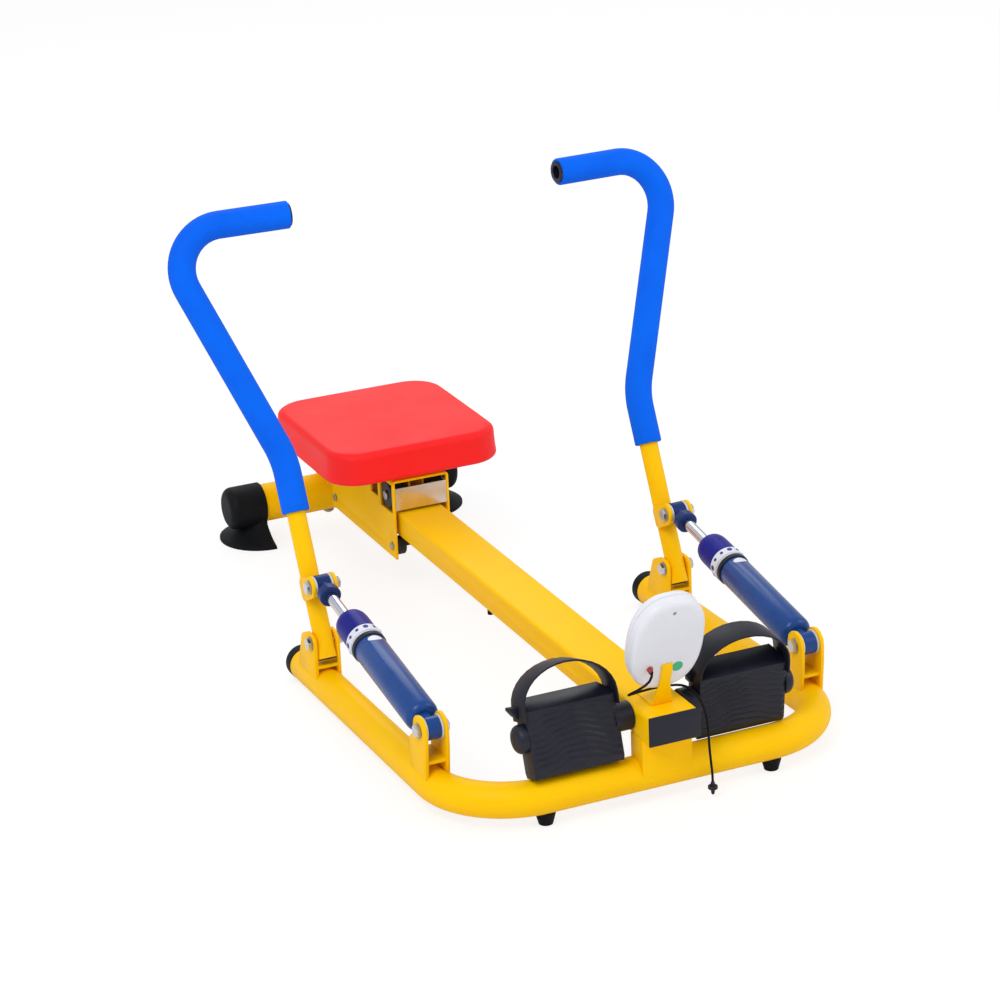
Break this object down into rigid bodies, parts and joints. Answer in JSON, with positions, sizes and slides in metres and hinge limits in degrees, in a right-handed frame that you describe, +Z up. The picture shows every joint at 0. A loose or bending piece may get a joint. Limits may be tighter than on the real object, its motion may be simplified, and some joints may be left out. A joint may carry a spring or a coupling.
{
  "type": "rowing machine",
  "caption": "Children's rowing machine: U-shaped base tube, sliding padded seat on a rail, hydraulic-damper handles, strapped pedals and a small display.",
  "frame": {"origin": "on the floor, under the middle of the overall length and width", "axes": "+Y runs from the pedals to the seat end, +X to the right seen from the front, +Z up"},
  "size_m": [0.6548, 1.0563, 0.5566],
  "materials": {
    "yellow_paint": "gloss yellow paint",
    "black_rubber": "matt black",
    "black_plastic": "satin black",
    "blue_foam": "blue foam, fine cells",
    "blue_paint": "gloss blue paint",
    "deep_blue_plastic": "deep blue",
    "white_plastic": "white",
    "bare_steel": "satin",
    "chrome": "polished",
    "red_vinyl": "red vinyl",
    "board": "plain board",
    "dark_glass": "dark clear window"
  },
  "bodies": {
    "frame": {"base_tube": "yellow_paint", "main_beam": "yellow_paint", "rear_cross_tube": "yellow_paint", "beam_plug_front": "black_plastic", "beam_plug_rear": "black_plastic", "seat_stop": "black_rubber", "pedal_shaft": "bare_steel", "display_bracket": "yellow_paint", "display_rear_shell": "white_plastic", "display_bezel": "white_plastic", "display_screen": "dark_glass", "sensor_cord": "black_rubber", "jack_plug": "black_plastic", "arm_cap_left": "black_rubber", "arm_cap_right": "black_rubber", "front_foot_left": "black_rubber", "front_foot_right": "black_rubber", "rear_foot_cap_left": "black_rubber", "rear_foot_cap_right": "black_rubber", "stand_bolt_left": "bare_steel", "stand_bolt_right": "bare_steel", "handle_bracket_left": "yellow_paint", "handle_bracket_right": "yellow_paint", "clevis_bracket_left": "yellow_paint", "clevis_bracket_right": "yellow_paint", "handle_bolt_left": "chrome", "handle_bolt_right": "chrome", "clevis_bolt_left": "chrome", "clevis_bolt_right": "chrome", "pedal_cap_left": "black_plastic", "pedal_cap_right": "black_plastic"},
    "seat": {"seat_pad": "red_vinyl", "seat_board": "board", "seat_carriage": "yellow_paint", "carriage_front_plate": "bare_steel"},
    "button": {"display_button": "black_plastic"},
    "upper_rollers_front": {"upper_rollers_front": "black_plastic"},
    "lower_rollers_front": {"lower_rollers_front": "black_plastic"},
    "upper_rollers_rear": {"upper_rollers_rear": "black_plastic"},
    "lower_rollers_rear": {"lower_rollers_rear": "black_plastic"},
    "handle_left": {"handle_tube_left": "yellow_paint", "foam_grip_left": "blue_foam", "rod_bolt_left": "chrome"},
    "damper_left": {"damper_body_left": "blue_paint", "damper_guide_left": "black_plastic"},
    "collar_left": {"adjusting_collar_left": "deep_blue_plastic"},
    "rod_left": {"damper_rod_left": "chrome", "rod_eye_left": "blue_paint"},
    "pedal_left": {"pedal_left": "black_plastic", "pedal_strap_left": "black_rubber"},
    "handle_right": {"handle_tube_right": "yellow_paint", "foam_grip_right": "blue_foam", "rod_bolt_right": "chrome"},
    "damper_right": {"damper_body_right": "blue_paint", "damper_guide_right": "black_plastic"},
    "collar_right": {"adjusting_collar_right": "deep_blue_plastic"},
    "rod_right": {"damper_rod_right": "chrome", "rod_eye_right": "blue_paint"},
    "pedal_right": {"pedal_right": "black_plastic", "pedal_strap_right": "black_rubber"}
  },
  "joints": [
    {"name": "seat_slide", "type": "slide", "parent": "frame", "child": "seat", "axis": [0, 1, 0], "range_m": [-0.24, 0.042]},
    {"name": "upper_roller_turn_front", "type": "hinge", "parent": "seat", "child": "upper_rollers_front", "pos_m": [0, 0.19975, 0.1315], "axis": [1, 0, 0], "range_deg": [-140, 780]},
    {"name": "upper_roller_turn_rear", "type": "hinge", "parent": "seat", "child": "upper_rollers_rear", "pos_m": [0, 0.36875, 0.1315], "axis": [1, 0, 0], "range_deg": [-140, 780]},
    {"name": "lower_roller_turn_front", "type": "hinge", "parent": "seat", "child": "lower_rollers_front", "pos_m": [0, 0.18575, 0.0672], "axis": [1, 0, 0], "range_deg": [-1380, 245]},
    {"name": "lower_roller_turn_rear", "type": "hinge", "parent": "seat", "child": "lower_rollers_rear", "pos_m": [0, 0.38275, 0.0672], "axis": [1, 0, 0], "range_deg": [-1380, 245]},
    {"name": "handle_swing_left", "type": "hinge", "parent": "frame", "child": "handle_left", "pos_m": [-0.231, -0.07225, 0.077], "axis": [1, 0, 0], "range_deg": [-10, 30]},
    {"name": "damper_tilt_left", "type": "hinge", "parent": "frame", "child": "damper_left", "pos_m": [-0.231, -0.39595, 0.0985], "axis": [1, 0, 0], "range_deg": [-0.9, 0.4]},
    {"name": "rod_stroke_left", "type": "slide", "parent": "damper_left", "child": "rod_left", "axis": [0, 0.9871, 0.1604], "range_m": [-0.0378, 0.0127]},
    {"name": "collar_turn_left", "type": "hinge", "parent": "damper_left", "child": "collar_left", "pos_m": [-0.231, -0.20495, 0.12953], "axis": [0, 0.9871, 0.1604], "range_deg": [-150, 150]},
    {"name": "pedal_turn_left", "type": "hinge", "parent": "frame", "child": "pedal_left", "pos_m": [-0.0485, -0.47225, 0.1], "axis": [1, 0, 0], "range_deg": [-35, 35]},
    {"name": "handle_swing_right", "type": "hinge", "parent": "frame", "child": "handle_right", "pos_m": [0.231, -0.07225, 0.077], "axis": [1, 0, 0], "range_deg": [-10, 30]},
    {"name": "damper_tilt_right", "type": "hinge", "parent": "frame", "child": "damper_right", "pos_m": [0.231, -0.39595, 0.0985], "axis": [1, 0, 0], "range_deg": [-0.9, 0.4]},
    {"name": "rod_stroke_right", "type": "slide", "parent": "damper_right", "child": "rod_right", "axis": [0, 0.9871, 0.1604], "range_m": [-0.0378, 0.0127]},
    {"name": "collar_turn_right", "type": "hinge", "parent": "damper_right", "child": "collar_right", "pos_m": [0.231, -0.20495, 0.12953], "axis": [0, 0.9871, 0.1604], "range_deg": [-150, 150]},
    {"name": "pedal_turn_right", "type": "hinge", "parent": "frame", "child": "pedal_right", "pos_m": [0.0485, -0.47225, 0.1], "axis": [1, 0, 0], "range_deg": [-35, 35]},
    {"name": "button_press", "type": "slide", "parent": "frame", "child": "button", "axis": [0, -0.9511, -0.309], "range_m": [0, 0.0015], "stiffness_N_per_m": 300}
  ],
  "couplings": [
    {"joint": "upper_roller_turn_front", "follows": "seat_slide", "rad_per_m": -56.497},
    {"joint": "upper_roller_turn_rear", "follows": "seat_slide", "rad_per_m": -56.497},
    {"joint": "lower_roller_turn_front", "follows": "seat_slide", "rad_per_m": 83.333},
    {"joint": "lower_roller_turn_rear", "follows": "seat_slide", "rad_per_m": 83.333},
    {"joint": "damper_tilt_left", "follows": "handle_swing_left", "ratio": -0.0251},
    {"joint": "rod_stroke_left", "follows": "handle_swing_left", "m_per_rad": -0.0719},
    {"joint": "damper_tilt_right", "follows": "handle_swing_right", "ratio": -0.0251},
    {"joint": "rod_stroke_right", "follows": "handle_swing_right", "m_per_rad": -0.0719}
  ]
}
